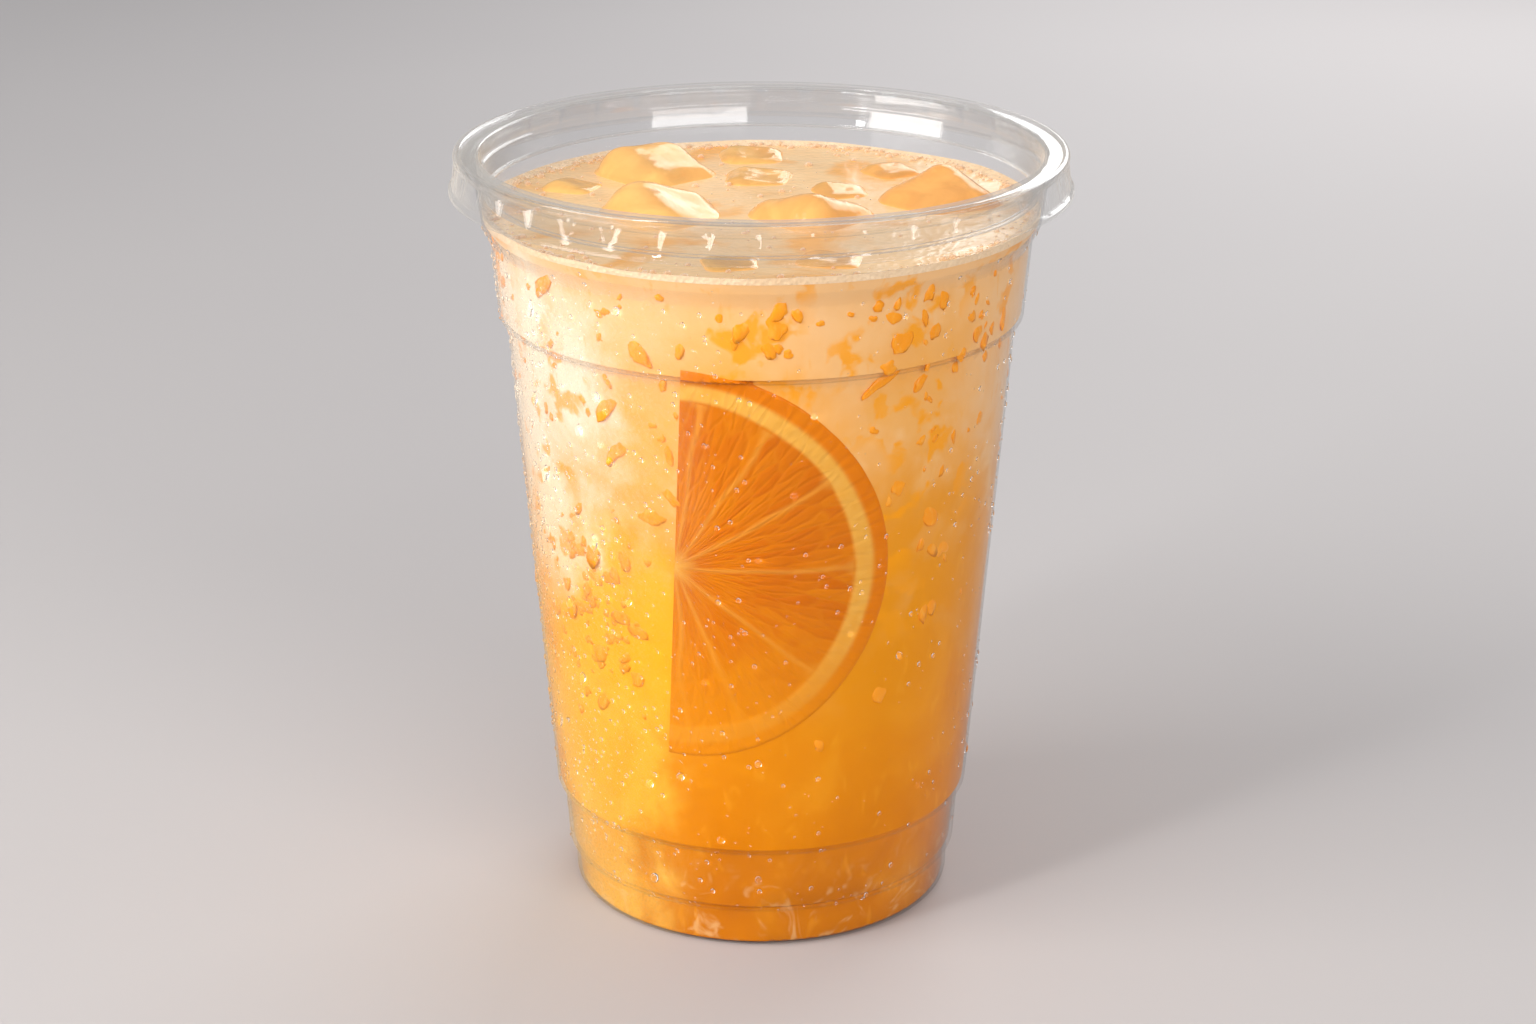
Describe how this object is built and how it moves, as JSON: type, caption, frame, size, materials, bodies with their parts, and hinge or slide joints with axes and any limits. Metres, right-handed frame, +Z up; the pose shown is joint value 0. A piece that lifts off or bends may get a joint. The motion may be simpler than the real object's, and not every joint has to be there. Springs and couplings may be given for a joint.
{
  "type": "glass of probiotic drink",
  "caption": "Clear takeaway cup of creamy orange probiotic drink over ice, with a half slice of orange bent against the wall and an open push-fit lid ring.",
  "frame": {"origin": "middle of the foot, on the plane the cup stands on", "axes": "+Z up along the cup's axis, the orange slice faces -Y, +X to the right of it"},
  "size_m": [0.1018, 0.1018, 0.1289],
  "materials": {
    "cup_plastic": "clear thermoformed PET, misted with condensation outside",
    "lid_plastic": "clear thermoformed PET, dry and glossy",
    "drink_liquid": "opaque creamy orange drink, pale above and deep orange below",
    "orange_flesh": "wet cut orange with pale pith and orange rind",
    "ice": "wet clear ice tinted by the drink"
  },
  "bodies": {
    "root": {"cup": "cup_plastic", "lid_ring": "lid_plastic", "drink": "drink_liquid", "orange_slice": "orange_flesh", "ice_01": "ice", "ice_02": "ice", "ice_03": "ice", "ice_04": "ice", "ice_05": "ice", "ice_06": "ice", "ice_07": "ice", "ice_08": "ice", "ice_09": "ice", "ice_10": "ice", "ice_11": "ice"}
  },
  "joints": []
}
